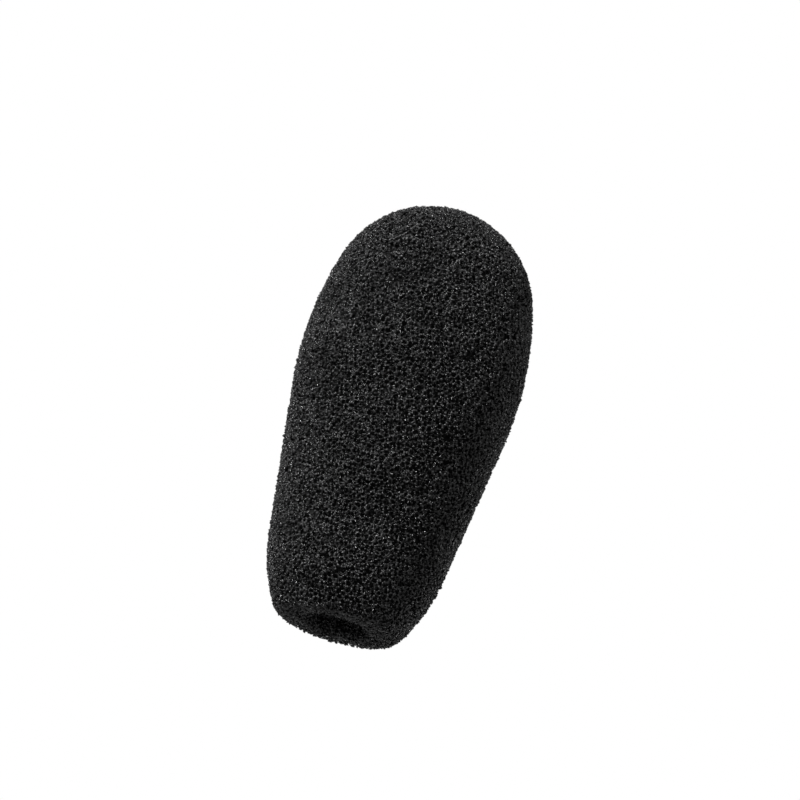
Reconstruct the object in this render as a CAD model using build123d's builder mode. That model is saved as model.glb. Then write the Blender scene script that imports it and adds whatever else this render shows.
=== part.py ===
from build123d import *
import os
from math import atan2, cos, degrees, radians, sin, sqrt, tan

# Foam windscreen for a headset boom or gooseneck microphone: one moulded piece of
# open-cell foam, a blunt-headed club that narrows to a mouth with a blind bore.
# Millimetres. The axis is +Z, the mouth face lies on z = 0 and the nose is at the top.

# ---- driving dimensions ------------------------------------------------------------
LENGTH = 45.0              # mouth face to nose
MAX_DIAMETER = 22.7        # the widest place, on the head
NOSE_RADIUS = 10.4         # ball end of the head
SIDE_RADIUS = 36.0         # long arc that blends the head into the flank
FLANK_ANGLE = 7.5          # half angle of the straight tapered flank, degrees
SHOULDER_RADIUS = 18.0     # arc that draws the flank in to the mouth
SHOULDER_HEIGHT = 7.6      # where the shoulder arc meets the flank, above the mouth
MOUTH_CORNER_RADIUS = 1.2  # soft outer corner of the mouth face

BORE_DIAMETER = 6.0        # relaxed bore, which stretches over the capsule
BORE_DEPTH = 30.0          # mouth face to the blind end
BORE_LIP_RADIUS = 1.0      # rounded entry that the capsule slides in over
BORE_END_RADIUS = 1.5      # soft corner at the blind end

# ---- points that follow from them --------------------------------------------------
flank = radians(FLANK_ANGLE)
nose_centre = LENGTH - NOSE_RADIUS
side_centre_x = MAX_DIAMETER / 2 - SIDE_RADIUS
widest_height = nose_centre - sqrt((SIDE_RADIUS - NOSE_RADIUS) ** 2 - side_centre_x ** 2)
blend_angle = degrees(atan2(nose_centre - widest_height, -side_centre_x))

flank_top = (
    side_centre_x + SIDE_RADIUS * cos(flank),
    widest_height - SIDE_RADIUS * sin(flank),
)
flank_bottom = (
    flank_top[0] - (flank_top[1] - SHOULDER_HEIGHT) * tan(flank),
    SHOULDER_HEIGHT,
)
shoulder_centre = (
    flank_bottom[0] - SHOULDER_RADIUS * cos(flank),
    flank_bottom[1] + SHOULDER_RADIUS * sin(flank),
)
mouth_angle = degrees(atan2(-shoulder_centre[1], sqrt(SHOULDER_RADIUS ** 2 - shoulder_centre[1] ** 2)))
mouth_radius = shoulder_centre[0] + SHOULDER_RADIUS * cos(radians(mouth_angle))

# ---- the foam body -----------------------------------------------------------------
with BuildPart() as foam_windscreen:
    # half outline of the outside, turned about the axis
    with BuildSketch(Plane.XZ):
        with BuildLine():
            CenterArc((0, nose_centre), NOSE_RADIUS, 90, blend_angle - 90)
            CenterArc((side_centre_x, widest_height), SIDE_RADIUS, blend_angle, -blend_angle - FLANK_ANGLE)
            Line(flank_top, flank_bottom)
            CenterArc(shoulder_centre, SHOULDER_RADIUS, -FLANK_ANGLE, mouth_angle + FLANK_ANGLE)
            Line((mouth_radius, 0), (0, 0))
            Line((0, 0), (0, LENGTH))
        make_face()
    revolve(axis=Axis.Z)
    mouth_edge = foam_windscreen.edges().group_by(Axis.Z)[0]
    fillet(mouth_edge, radius=MOUTH_CORNER_RADIUS)

    # blind bore up from the mouth face
    with BuildSketch(Plane.XY):
        Circle(BORE_DIAMETER / 2)
    extrude(amount=BORE_DEPTH, mode=Mode.SUBTRACT)
    bore_edges = foam_windscreen.edges().filter_by(
        lambda edge: edge.geom_type == GeomType.CIRCLE and abs(edge.radius - BORE_DIAMETER / 2) < 0.01
    )
    bore_lip = bore_edges.sort_by(Axis.Z)[0]
    bore_end = bore_edges.sort_by(Axis.Z)[-1]
    fillet(bore_lip, radius=BORE_LIP_RADIUS)
    fillet(bore_end, radius=BORE_END_RADIUS)

foam_windscreen.part.label = "foam_windscreen"

# ---- write the piece ---------------------------------------------------------------
os.makedirs("parts", exist_ok=True)
export_step(foam_windscreen.part, "parts/foam_windscreen.step")
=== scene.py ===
import itertools
import math
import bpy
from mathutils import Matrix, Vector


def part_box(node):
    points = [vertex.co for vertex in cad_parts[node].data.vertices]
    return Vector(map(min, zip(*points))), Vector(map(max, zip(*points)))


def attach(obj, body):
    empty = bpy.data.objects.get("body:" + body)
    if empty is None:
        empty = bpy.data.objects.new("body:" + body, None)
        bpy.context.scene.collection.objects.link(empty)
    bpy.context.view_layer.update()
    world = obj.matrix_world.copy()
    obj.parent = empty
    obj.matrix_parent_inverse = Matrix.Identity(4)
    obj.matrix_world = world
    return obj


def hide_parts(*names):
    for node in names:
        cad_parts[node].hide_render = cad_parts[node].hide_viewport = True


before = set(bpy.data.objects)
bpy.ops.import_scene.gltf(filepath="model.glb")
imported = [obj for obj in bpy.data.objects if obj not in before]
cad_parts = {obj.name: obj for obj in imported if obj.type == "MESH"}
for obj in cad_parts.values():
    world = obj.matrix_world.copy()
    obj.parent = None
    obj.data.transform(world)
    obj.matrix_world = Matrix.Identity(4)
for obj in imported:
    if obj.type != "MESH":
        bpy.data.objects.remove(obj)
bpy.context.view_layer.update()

from types import SimpleNamespace

import bpy
import numpy as np
from mathutils import Matrix, Vector
from mathutils.bvhtree import BVHTree
from mathutils.kdtree import KDTree

# A foam microphone windscreen, drawn as what it is: an open network of black struts, cell by
# cell, over a dark core. Metres, in the CAD part's own frame: the bore opens at the origin and
# the nose points along +Z.

MM = 0.001
NODE = "foam_windscreen"
cad_low, cad_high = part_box(NODE)
LENGTH = cad_high.z - cad_low.z

# ---- foam: cells ---------------------------------------------------------------------
CELL = 0.54 * MM              # spacing of neighbouring cells
LATTICE_STEP = CELL / 0.92    # edge of the lattice's cube: 14 neighbours lie 0.92 of it away, on average
# a turn that shows no row of the lattice along the part
LATTICE_TURN = Matrix.Rotation(0.7, 3, Vector((1, 2, 3)).normalized()) @ Matrix.Rotation(0.5, 3, "X")
JITTER = 0.20                 # how far a cell strays from its lattice place, in lattice steps
SKIN = 0.70 * MM              # depth of open network over the core
SEED_MARGIN = 0.85 * CELL     # cells this far outside the skin, either way, still shape its struts
NEIGHBOURS = 26               # cells tried around each cell
NEAREST = 9                   # the nearest of them, which rule most tries out
REACH = 0.80                  # radius of the largest empty sphere between cells, in lattice steps
FLAT = 1e-4                   # four cells that span less volume than this share no sphere
TOUCH = 1e-7                  # a cell may touch the sphere, within rounding
BATCH = 1000                  # cells worked on at once

# ---- foam: struts --------------------------------------------------------------------
STRUT = 0.086 * MM            # middle of a strut to its ridge, at a node
STRUT_SPREAD = 0.12           # how much this varies from node to node
STRUT_RANGE = (0.7, 1.4)      # and its limits
RIDGE_SINE = 0.816            # sine of the angle between a ridge and its two struts, at an even node
RIDGE_LEAN = 0.15             # least cosine of that angle that is reckoned with
RIDGE_SHARE = 0.45            # how far along the shorter strut a ridge point may lie
LEAST_RIDGE = 0.35            # and the share of its length that a ridge keeps at least
WAIST = 0.42                  # a strut's width half-way along, as a share of its ends'
LOOSE_LENGTH = 0.4 * CELL     # taken for a strut that has no far node
FILM_MOST = 0.90              # how far a film closes its window, at most
FILM_BIAS = 1.4               # above 1, small films outnumber large ones
GROUND_OFF = 0.01 * MM        # a node nearer the surface than this is ground away
CUT_ROUGH = 0.06 * MM         # how unevenly the outside is ground
CUT_RANGE = (-0.35, 1.0)      # from above the surface to below it, in CUT_ROUGH
LEAST_DROP = 1e-9             # keeps a strut along the surface from being divided by nothing
LEAST_STUB = 0.12             # share of its length that a ground strut keeps
DEEP = 0.6                    # share of the skin's depth from which foam counts as held
LONGEST_CHAIN = 20            # struts that a chain from there may have
SLICES = 22                   # pieces that the network is written in

# ---- bore and core -------------------------------------------------------------------
BORE_RADIUS = 3.0 * MM
BORE_SLACK = 0.05 * MM        # this near the bore's radius is on its wall
BORE_LINING = 8.0 * MM        # how far up the bore the open network goes
BORE_FOAM = 1.5 * SKIN        # thickness round the bore that goes bare past the lining
BORE_TOP = LENGTH - 9.0 * MM  # clear above the blind end, and clear below the nose
CORE_VOXEL = 0.24 * MM
CORE_DEPTH = SKIN - 0.12 * MM
CORE_BORE_DEPTH = 0.10 * MM   # the core's depth in the bore past the lining
CORE_FADE = 1.5 * MM          # height over which it changes
CORE_ROUGH = 0.05 * MM

cad_surface = BVHTree.FromPolygons(
    [v.co[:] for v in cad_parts[NODE].data.vertices],
    [p.vertices[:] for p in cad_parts[NODE].data.polygons],
)


def unit(vectors):
    return vectors / np.maximum(np.linalg.norm(vectors, axis=-1, keepdims=True), 1e-12)


def normals(corners):
    """The normals of triangles given by their three corners, not of unit length."""
    return np.cross(corners[:, 1] - corners[:, 0], corners[:, 2] - corners[:, 0])


def dot(first, second):
    return np.einsum("ni,ni->n", first, second)


def depth_in_foam(points):
    """Distance from each point to the part's surface, positive inside the foam."""
    depths = np.empty(len(points))
    for k, point in enumerate(points.tolist()):
        place, normal, _, distance = cad_surface.find_nearest(point)
        inside = (Vector(point) - place).dot(normal) < 0
        depths[k] = distance if inside else -distance
    return depths


def deep_in_bore(points, margin=0.0):
    """True for points around the bore, past the stretch that its mouth shows."""
    radius = np.hypot(points[:, 0], points[:, 1])
    past_lining = points[:, 2] > BORE_LINING + margin
    return past_lining & (points[:, 2] < BORE_TOP) & (radius < BORE_RADIUS + BORE_FOAM)


# ---- cells ---------------------------------------------------------------------------
def lattice_seeds(rng):
    """Cell centres: a body-centred cubic lattice, turned off the part's axes and jittered."""
    count = int(math.hypot(LENGTH / 2, cad_high.x) / LATTICE_STEP) + 1
    steps = [np.arange(-count, count + 1)] * 3
    corners = np.stack(np.meshgrid(*steps, indexing="ij"), -1).reshape(-1, 3)
    points = np.concatenate([corners, corners + 0.5]) * LATTICE_STEP
    points = points @ np.array(LATTICE_TURN).T + np.array([0, 0, LENGTH / 2])
    radius = np.hypot(points[:, 0], points[:, 1])
    height = points[:, 2]
    points = points[(radius < cad_high.x + CELL) & (height > -CELL) & (height < LENGTH + CELL)]
    points = points + rng.normal(0, JITTER * LATTICE_STEP, points.shape)
    depth = depth_in_foam(points)
    near_skin = (depth > -SEED_MARGIN) & (depth < SKIN + SEED_MARGIN)
    return points[near_skin & ~deep_in_bore(points, CELL)]


def nearest_cells(seeds):
    """For each cell, the numbers of its nearest neighbours, nearest first."""
    tree = KDTree(len(seeds))
    for number, point in enumerate(seeds.tolist()):
        tree.insert(point, number)
    tree.balance()
    hits = [tree.find_n(point, NEIGHBOURS + 1) for point in seeds.tolist()]
    return np.array([[number for _, number, _ in row[1:]] for row in hits])


def voronoi_nodes(seeds):
    """Four cells at a time whose shared sphere is empty, and its centre: the nodes of the foam."""
    near = nearest_cells(seeds)
    triples = np.array(list(itertools.combinations(range(NEIGHBOURS), 3)))
    corners, centres = [], []
    for start in range(0, len(seeds), BATCH):
        own = np.arange(start, min(start + BATCH, len(seeds)))
        around = near[own]
        arm = (seeds[around] - seeds[own, None]) / LATTICE_STEP
        half = (arm ** 2).sum(-1) / 2
        # each four is found once, from its lowest number
        later = around > own[:, None]
        cell, found = np.nonzero(later[:, triples[:, 0]] & later[:, triples[:, 1]] & later[:, triples[:, 2]])
        j, k, l = triples[found].T
        to_j, to_k, to_l = arm[cell, j], arm[cell, k], arm[cell, l]
        kl, lj, jk = np.cross(to_k, to_l), np.cross(to_l, to_j), np.cross(to_j, to_k)
        volume = (to_j * kl).sum(-1)
        centre = half[cell, j, None] * kl + half[cell, k, None] * lj + half[cell, l, None] * jk
        with np.errstate(divide="ignore", invalid="ignore"):
            centre = centre / volume[:, None]
        good = (np.abs(volume) > FLAT) & ((centre ** 2).sum(-1) < REACH ** 2)
        cell, j, k, l, centre = cell[good], j[good], k[good], l[good], centre[good]
        for part in (slice(0, NEAREST), slice(NEAREST, NEIGHBOURS)):
            toward = np.einsum("nmi,ni->nm", arm[cell, part], centre)
            empty = (toward <= half[cell, part] + TOUCH).all(-1)
            cell, j, k, l, centre = cell[empty], j[empty], k[empty], l[empty], centre[empty]
        corners.append(np.stack([own[cell], around[cell, j], around[cell, k], around[cell, l]], -1))
        centres.append(seeds[own][cell] + centre * LATTICE_STEP)
    return np.sort(np.concatenate(corners), axis=1), np.concatenate(centres)


# ---- struts --------------------------------------------------------------------------
# A node lies between four cells, 0 to 3. Strut m of it runs away from cell m, between the other
# three. Six windows meet at it, one between each two cells, and each holds one ridge point.
WINDOWS = list(itertools.combinations(range(4), 2))
# the three windows round strut m, whose ridge points make the ring that the strut starts from
RING = np.array([
    [WINDOWS.index(pair) for pair in itertools.combinations([c for c in range(4) if c != m], 2)]
    for m in range(4)
])


def struts_between(cells):
    """Nodes that share three cells, a row for each pair: node and strut, at one end and the other."""
    owner = np.repeat(np.arange(len(cells)), 4)
    strut = np.tile(np.arange(4), len(cells))
    shared = np.stack([np.delete(cells, m, axis=1) for m in range(4)], 1).reshape(-1, 3)
    count = cells.max() + 1
    key = (shared[:, 0] * count + shared[:, 1]) * count + shared[:, 2]
    order = np.argsort(key, kind="stable")
    same = np.nonzero(key[order][1:] == key[order][:-1])[0]
    first, second = order[same], order[same + 1]
    return np.stack([owner[first], strut[first], owner[second], strut[second]], -1)


def strut_directions(seeds, cells):
    """The way that each of a node's four struts runs, as unit vectors."""
    corner = seeds[cells]
    along = np.empty((len(cells), 4, 3))
    for m in range(4):
        others = [c for c in range(4) if c != m]
        normal = unit(normals(corner[:, others]))
        toward_cell = dot(corner[:, m] - corner[:, others[0]], normal) > 0
        along[:, m] = np.where(toward_cell[:, None], -normal, normal)
    return along


def window_middles(cells, nodes):
    """The window that each of a node's six ridge points lies in, and the middle of each window."""
    pairs = np.stack([cells[:, list(pair)] for pair in WINDOWS], 1)
    key = pairs[..., 0] * (cells.max() + 1) + pairs[..., 1]
    _, window = np.unique(key, return_inverse=True)
    window = window.ravel()
    count = np.bincount(window)
    total = [np.bincount(window, np.repeat(nodes[:, axis], 6)) for axis in range(3)]
    return window.reshape(len(cells), 6), np.stack(total, -1) / count[:, None]


def ridge_points(seeds, cells, nodes, struts, rng):
    """The six points of each node where two struts' ridges run together, one in each window."""
    along = strut_directions(seeds, cells)
    length = np.full((len(cells), 4), LOOSE_LENGTH)
    reach = np.linalg.norm(nodes[struts[:, 0]] - nodes[struts[:, 2]], axis=1)
    length[struts[:, 0], struts[:, 1]] = reach
    length[struts[:, 2], struts[:, 3]] = reach
    window, middle = window_middles(cells, nodes)
    film = FILM_MOST * rng.random(len(middle)) ** FILM_BIAS
    size = STRUT / RIDGE_SINE * np.clip(rng.normal(1, STRUT_SPREAD, len(cells)), *STRUT_RANGE)
    points = np.empty((len(cells), 6, 3))
    for k, pair in enumerate(WINDOWS):
        m, n = [c for c in range(4) if c not in pair]
        ridge = unit(along[:, m] + along[:, n])
        lean = np.maximum(dot(ridge, along[:, m]), RIDGE_LEAN)
        room = RIDGE_SHARE * np.minimum(length[:, m], length[:, n]) / (size * lean)
        root = nodes + ridge * (size * np.clip(room, LEAST_RIDGE, 1))[:, None]
        # a film draws the ridge out towards the window's middle
        points[:, k] = root + (middle[window[:, k]] - root) * film[window[:, k], None]
    return points


def tied_nodes(nodes, depth, struts):
    """True for the nodes that are drawn: in the skin, and tied to the deep foam, so none floats."""
    wanted = (depth > GROUND_OFF) & (depth < SKIN) & ~deep_in_bore(nodes)
    tied = wanted & (depth > SKIN * DEEP)
    first, second = struts[:, 0], struts[:, 2]
    both = wanted[first] & wanted[second]
    for _ in range(LONGEST_CHAIN):
        more = both & (tied[first] != tied[second])
        tied[first[more]] = True
        tied[second[more]] = True
    return tied


def lay_network(rng):
    """The nodes and struts that are drawn, with the rings of points that each strut runs through."""
    seeds = lattice_seeds(rng)
    cells, nodes = voronoi_nodes(seeds)
    struts = struts_between(cells)
    depth = depth_in_foam(nodes)
    keep = tied_nodes(nodes, depth, struts)
    points = ridge_points(seeds, cells, nodes, struts, rng)
    # each strut starts at a node that is kept
    struts = struts[keep[struts[:, 0]] | keep[struts[:, 2]]]
    flip = ~keep[struts[:, 0]]
    struts[flip] = struts[flip][:, [2, 3, 0, 1]]
    start, start_strut, end, end_strut = struts.T
    # and ends at its far node, or ground off at the surface
    cut = rng.uniform(*CUT_RANGE, len(struts)) * CUT_ROUGH
    ground = ~keep[end] & (depth[end] < cut)
    drop = np.maximum(depth[start] - depth[end], LEAST_DROP)
    share = np.clip(np.where(ground, (depth[start] - cut) / drop, 1.0), LEAST_STUB, 1.0)
    ring_start = points[start[:, None], RING[start_strut]]
    ring_end = points[end[:, None], RING[end_strut]]
    ring_end = ring_start + (ring_end - ring_start) * share[:, None, None]
    waist = (ring_start + ring_end) / 2
    centre = waist.mean(1, keepdims=True)
    angle = np.arctan2(nodes[:, 1], nodes[:, 0]) / (2 * math.pi) + 0.5
    # struts that a node lacks, which leave a hole in it to cap
    bare = np.repeat(keep[:, None], 4, axis=1)
    bare[start, start_strut] = False
    bare[end[keep[end]], end_strut[keep[end]]] = False
    return SimpleNamespace(
        nodes=nodes, depth=depth, keep=keep, points=points, bare=bare,
        start=start, start_strut=start_strut, end=end, end_strut=end_strut,
        waist=centre + (waist - centre) * WAIST, ring_end=ring_end,
        end_depth=depth[start] + (depth[end] - depth[start]) * share,
        slice_of=(angle * SLICES).astype(int) % SLICES,
    )


# ---- meshes --------------------------------------------------------------------------
def wound_outwards(faces, points, within):
    """Triangles turned, where they have to be, so that they look away from the places within."""
    corners = points[faces]
    inwards = dot(normals(corners), corners.mean(1) - within) < 0
    return np.where(inwards[:, None], faces[:, ::-1], faces)


def slice_arrays(net, s):
    """Slice s of the network: its points, their depths in the foam, its triangles and its quads."""
    own_nodes = np.nonzero(net.keep & (net.slice_of == s))[0]
    own = np.nonzero(net.slice_of[net.start] == s)[0]
    start, end = net.start[own], net.end[own]
    number = np.full(len(net.nodes), -1)
    number[own_nodes] = np.arange(len(own_nodes))
    # a strut's end is joined to its far node in the same slice, and loose elsewhere
    joined = net.keep[end] & (net.slice_of[end] == s)
    loose = np.nonzero(~joined)[0]
    node_points, waist_points = 6 * len(own_nodes), 3 * len(own)
    ring_start = 6 * number[start, None] + RING[net.start_strut[own]]
    ring_waist = node_points + np.arange(waist_points).reshape(-1, 3)
    ring_end = np.empty((len(own), 3), int)
    ring_end[joined] = 6 * number[end[joined], None] + RING[net.end_strut[own][joined]]
    ring_end[loose] = node_points + waist_points + np.arange(3 * len(loose)).reshape(-1, 3)
    points = np.concatenate([
        net.points[own_nodes].reshape(-1, 3),
        net.waist[own].reshape(-1, 3),
        net.ring_end[own[loose]].reshape(-1, 3),
    ])
    depths = np.concatenate([
        np.repeat(net.depth[own_nodes], 6),
        np.repeat((net.depth[start] + net.end_depth[own]) / 2, 3),
        np.repeat(net.end_depth[own[loose]], 3),
    ])
    # the walls of each strut, from its start to its waist and on to its end
    clockwise = dot(normals(points[ring_start]), net.nodes[end] - net.nodes[start]) <= 0
    quads = []
    for low_ring, high_ring in ((ring_start, ring_waist), (ring_waist, ring_end)):
        for u, v in ((0, 1), (1, 2), (2, 0)):
            quad = np.stack([low_ring[:, u], low_ring[:, v], high_ring[:, v], high_ring[:, u]], -1)
            quads.append(np.where(clockwise[:, None], quad[:, ::-1], quad))
    caps = ring_end[loose]
    triangles = [np.where(clockwise[loose, None], caps[:, ::-1], caps)]
    # at each node, the four small faces between struts, and a cap where it has no strut here
    foreign = (net.slice_of[net.start] != s) & net.keep[net.end] & (net.slice_of[net.end] == s)
    for m in range(4):
        between = [k for k, pair in enumerate(WINDOWS) if m in pair]
        faces = 6 * np.arange(len(own_nodes))[:, None] + np.array(between)
        triangles.append(wound_outwards(faces, points, net.nodes[own_nodes]))
        bare = np.nonzero(net.bare[own_nodes, m])[0]
        bare = np.concatenate([bare, number[net.end[foreign & (net.end_strut == m)]]])
        faces = 6 * bare[:, None] + RING[m]
        triangles.append(wound_outwards(faces, points, net.nodes[own_nodes[bare]]))
    return points, depths, np.concatenate(triangles), np.concatenate(quads)


def add_bake_map(mesh, across):
    """A map for surfaces baked to images: across as given for each point, 0 to 1, and up by height."""
    spots = np.empty(3 * len(mesh.vertices), np.float32)
    mesh.vertices.foreach_get("co", spots)
    corners = np.empty(len(mesh.loops), np.int32)
    mesh.loops.foreach_get("vertex_index", corners)
    uv = np.stack([across, spots[2::3] / LENGTH], -1).clip(0, 1)[corners]
    mesh.uv_layers.new(name="OFBake").data.foreach_set("uv", uv.astype(np.float32).ravel())


def network_piece(name, points, depths, triangles, quads, material):
    """One piece of the network, whose attribute depth tells its material how deep each point lies."""
    mesh = bpy.data.meshes.new(name)
    mesh.vertices.add(len(points))
    mesh.vertices.foreach_set("co", np.ascontiguousarray(points, np.float32).ravel())
    corners = np.concatenate([triangles.ravel(), quads.ravel()]).astype(np.int32)
    sizes = np.repeat([3, 4], [len(triangles), len(quads)]).astype(np.int32)
    starts = (np.cumsum(sizes) - sizes).astype(np.int32)
    mesh.loops.add(len(corners))
    mesh.loops.foreach_set("vertex_index", corners)
    mesh.polygons.add(len(sizes))
    mesh.polygons.foreach_set("loop_start", starts)
    mesh.polygons.foreach_set("loop_total", sizes)
    mesh.polygons.foreach_set("use_smooth", np.ones(len(sizes), bool))
    mesh.attributes.new("depth", "FLOAT", "POINT").data.foreach_set("value", depths.astype(np.float32))
    mesh.update(calc_edges=True)
    add_bake_map(mesh, (depths + CUT_ROUGH) / (SKIN + CUT_ROUGH))
    mesh.materials.append(material)
    piece = bpy.data.objects.new(name, mesh)
    bpy.context.scene.collection.objects.link(piece)
    return piece


def core_draw(place, rng):
    """How deep the core lies below this place of the part's surface."""
    in_bore = math.hypot(place.x, place.y) < BORE_RADIUS + BORE_SLACK and place.z < BORE_TOP
    past_lining = min(1.0, max(0.0, (place.z - BORE_LINING) / CORE_FADE + 1)) if in_bore else 0.0
    draw = CORE_DEPTH * (1 - past_lining) + CORE_BORE_DEPTH * past_lining
    return draw + rng.uniform(-CORE_ROUGH, CORE_ROUGH)


def foam_core(material):
    """The foam behind the open network: the part's own outline, drawn in by the network's depth."""
    core = bpy.data.objects.new("foam_core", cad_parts[NODE].data.copy())
    core.data.materials.clear()
    core.data.materials.append(material)
    bpy.context.scene.collection.objects.link(core)
    remesh = core.modifiers.new("even", "REMESH")
    remesh.mode = "VOXEL"
    remesh.voxel_size = CORE_VOXEL
    bpy.context.view_layer.update()
    mesh = bpy.data.meshes.new_from_object(core.evaluated_get(bpy.context.evaluated_depsgraph_get()))
    core.modifiers.clear()
    core.data = mesh
    rng = np.random.default_rng(3)
    for vertex in mesh.vertices:
        place, normal, _, _ = cad_surface.find_nearest(vertex.co)
        vertex.co = place - normal * core_draw(place, rng)
    for polygon in mesh.polygons:
        polygon.use_smooth = True
    add_bake_map(mesh, [abs(math.atan2(v.co.y, v.co.x)) / math.pi for v in mesh.vertices])
    return core


# ---- materials -----------------------------------------------------------------------
PATCH = 5 * MM                          # size of the blotches that the foam's colour drifts over, at random
PATCH_SHADES = (0.8, 1.2)
SPECK = 0.30 * MM                       # size of the specks in its shade
SPECK_SHADES = (0.1, 2.4)
GLOSS_SPECK = 0.5 * MM                  # size of the places where its gloss changes
PAINTED_SHADE_DEPTHS = (0.05 * MM, 0.40 * MM)    # painted shade: struts are drawn darker and duller from the first depth to the second
NOISE_BAND = (0.35, 0.65)               # most of the noise lies between these
BLUE = 1.03                             # the least touch of blue in the black


def spread(tree, value, between, low, high):
    """The value, moved from one range to another and held there; its output socket."""
    node = tree.nodes.new("ShaderNodeMapRange")
    node.inputs["From Min"].default_value, node.inputs["From Max"].default_value = between
    node.inputs["To Min"].default_value = low
    node.inputs["To Max"].default_value = high
    tree.links.new(value, node.inputs["Value"])
    return node.outputs["Result"]


def noise(tree, place, size, low, high):
    """Noise with specks of one size, spread between two values; its output socket."""
    node = tree.nodes.new("ShaderNodeTexNoise")
    node.inputs["Scale"].default_value = 1 / size
    node.inputs["Detail"].default_value = 2
    tree.links.new(place, node.inputs["Vector"])
    return spread(tree, node.outputs["Fac"], NOISE_BAND, low, high)


def times(tree, first, second):
    """The product of a socket and either a socket or a number; its output socket."""
    node = tree.nodes.new("ShaderNodeMath")
    node.operation = "MULTIPLY"
    tree.links.new(first, node.inputs[0])
    if isinstance(second, float):
        node.inputs[1].default_value = second
    else:
        tree.links.new(second, node.inputs[1])
    return node.outputs["Value"]


def foam_material(name, shade, gloss, specular, deep_shade_share):
    """Black foam: its colour drifts at random over wide blotches and fine specks, and its gloss comes and
    goes. Painted shade: what lies deeper in the network is drawn darker and duller, down to the share given
    by the last argument."""
    material = bpy.data.materials.new(name)
    material.use_nodes = True
    tree = material.node_tree
    shader = tree.nodes["Principled BSDF"]
    place = tree.nodes.new("ShaderNodeTexCoord").outputs["Object"]
    depth = tree.nodes.new("ShaderNodeAttribute")
    depth.attribute_name = "depth"
    # painted shade: the deeper a point lies in the network, the darker its colour and the duller its
    # reflection; the random blotches carry this too
    painted_depth_shade = spread(tree, depth.outputs["Fac"], PAINTED_SHADE_DEPTHS, 1.0, deep_shade_share)
    blotches_and_painted_shade = times(tree, noise(tree, place, PATCH, *PATCH_SHADES), painted_depth_shade)
    specks = noise(tree, place, SPECK, *SPECK_SHADES)
    colour = tree.nodes.new("ShaderNodeVectorMath")
    colour.operation = "SCALE"
    colour.inputs[0].default_value = (shade, shade, shade * BLUE)
    tree.links.new(times(tree, blotches_and_painted_shade, specks), colour.inputs["Scale"])
    tree.links.new(colour.outputs["Vector"], shader.inputs["Base Color"])
    tree.links.new(times(tree, blotches_and_painted_shade, specular), shader.inputs["Specular IOR Level"])
    tree.links.new(noise(tree, place, GLOSS_SPECK, *gloss), shader.inputs["Roughness"])
    return material


# ---- pieces --------------------------------------------------------------------------
# the struts' painted shade takes their colour and reflection down to 0.35 of themselves at depth
struts_material = foam_material("foam_struts", shade=0.020, gloss=(0.15, 0.45), specular=1.0, deep_shade_share=0.35)
# the core stands for the deeper foam: its black is drawn darker and duller than the struts', as painted
# shade of the depths
core_material = foam_material("foam_depths_painted_shade", shade=0.007, gloss=(0.7, 0.9), specular=0.1, deep_shade_share=1.0)
network = lay_network(np.random.default_rng(7))
slices = []
for s in range(SLICES):
    slices.append(network_piece(f"foam_network_{s + 1:02d}", *slice_arrays(network, s), struts_material))
for piece in [foam_core(core_material), *slices]:
    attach(piece, "root")
    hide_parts(NODE)

# ---- stage ---------------------------------------------------------------------------
AIM = Vector((0, 0, LENGTH / 2))
CAMERA_DISTANCE = 0.60
SENSOR = 36                             # width, in the lens's millimetres
FRAME_WIDTH = 80.05 * MM                # what the picture's width covers at the object
ELEVATION = math.radians(-17.5)
LEAN = math.radians(16.5)               # how far the part leans to the right in the picture
OFF_CENTRE = (0.32 * MM, 1.92 * MM)     # the picture's middle, right of and above the aim
FLOOR_DROP = -0.30
FLOOR_REACH = 4.0
PALE = (0.85, 0.85, 0.85, 1)
WHITE = (1, 1, 1, 1)


def add_camera():
    """The camera looks up at the part from below its middle, and is rolled so that the part leans."""
    data = bpy.data.cameras.new("camera")
    data.sensor_width = SENSOR
    data.lens = SENSOR * CAMERA_DISTANCE / FRAME_WIDTH
    data.clip_start = 0.01
    data.clip_end = 20
    camera = bpy.data.objects.new("camera", data)
    bpy.context.scene.collection.objects.link(camera)
    back = Vector((0, -math.cos(ELEVATION), math.sin(ELEVATION)))
    right = Vector((1, 0, 0))
    up = right.cross(-back)
    picture_right = right * math.cos(LEAN) + up * math.sin(LEAN)
    picture_up = up * math.cos(LEAN) - right * math.sin(LEAN)
    middle = AIM + picture_right * OFF_CENTRE[0] + picture_up * OFF_CENTRE[1]
    axes = Matrix((picture_right, picture_up, back)).transposed()
    camera.matrix_world = Matrix.Translation(middle + back * CAMERA_DISTANCE) @ axes.to_4x4()
    bpy.context.scene.camera = camera


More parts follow.
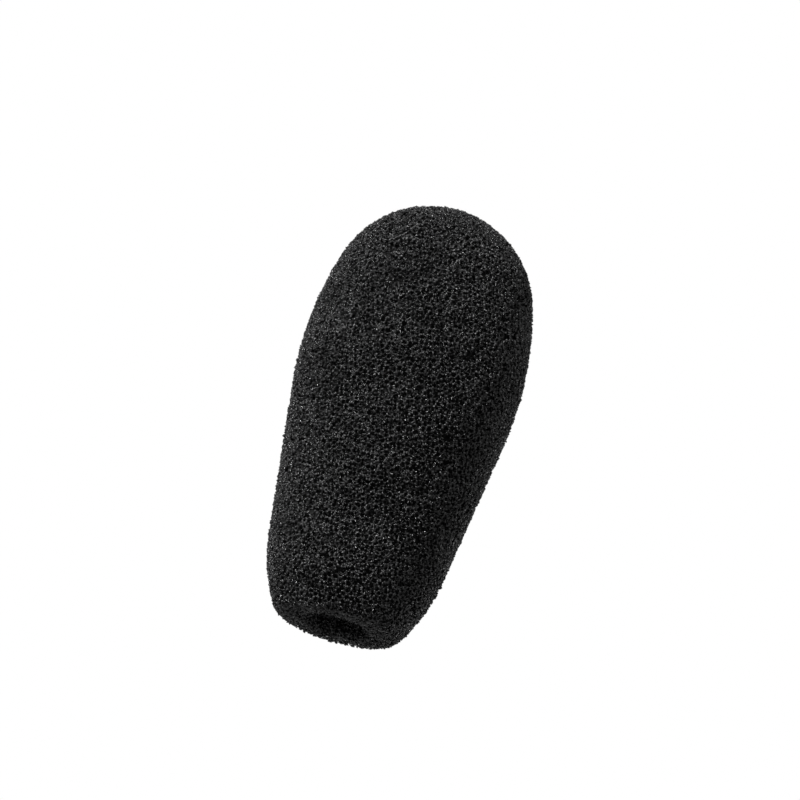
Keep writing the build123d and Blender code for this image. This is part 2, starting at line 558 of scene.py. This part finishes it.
def add_floor():
    """Pale paper far below, which is seen and lights nothing."""
    corners = [(-1, -1), (1, -1), (1, 1), (-1, 1)]
    mesh = bpy.data.meshes.new("floor")
    points = [(x * FLOOR_REACH, y * FLOOR_REACH, FLOOR_DROP) for x, y in corners]
    mesh.from_pydata(points, [], [(0, 1, 2, 3)])
    material = bpy.data.materials.new("floor_paper")
    material.use_nodes = True
    shader = material.node_tree.nodes["Principled BSDF"]
    shader.inputs["Base Color"].default_value = PALE
    shader.inputs["Roughness"].default_value = 0.9
    shader.inputs["Emission Color"].default_value = WHITE
    shader.inputs["Emission Strength"].default_value = 0.42
    mesh.materials.append(material)
    floor = bpy.data.objects.new("floor", mesh)
    bpy.context.scene.collection.objects.link(floor)
    floor.visible_diffuse = False
    floor.visible_glossy = False


def soft_light(name, place, size, power):
    """A round lamp of this size and power, in watts, turned to the part."""
    data = bpy.data.lights.new(name, "AREA")
    data.shape = "DISK"
    data.size = size
    data.energy = power
    light = bpy.data.objects.new(name, data)
    bpy.context.scene.collection.objects.link(light)
    light.location = place
    light.rotation_euler = (AIM - Vector(place)).to_track_quat("-Z", "Y").to_euler()


def add_surround(seen, cast):
    """An even white surround, as bright to the camera as seen, that lights the part as much as cast."""
    world = bpy.data.worlds.new("studio")
    bpy.context.scene.world = world
    world.use_nodes = True
    tree = world.node_tree
    background = tree.nodes["Background"]
    background.inputs["Color"].default_value = WHITE
    path = tree.nodes.new("ShaderNodeLightPath")
    strength = tree.nodes.new("ShaderNodeMix")
    strength.inputs["A"].default_value = cast
    strength.inputs["B"].default_value = seen
    tree.links.new(path.outputs["Is Camera Ray"], strength.inputs["Factor"])
    tree.links.new(strength.outputs["Result"], background.inputs["Strength"])


add_camera()
add_floor()
soft_light("key", place=(-0.48, -0.50, 0.37), size=0.15, power=6.8)
soft_light("rim", place=(0.42, 0.64, 0.00), size=0.30, power=0.51)
add_surround(seen=1.0, cast=0.33)
bpy.context.scene.view_settings.view_transform = "Standard"
bpy.context.scene.view_settings.look = "None"
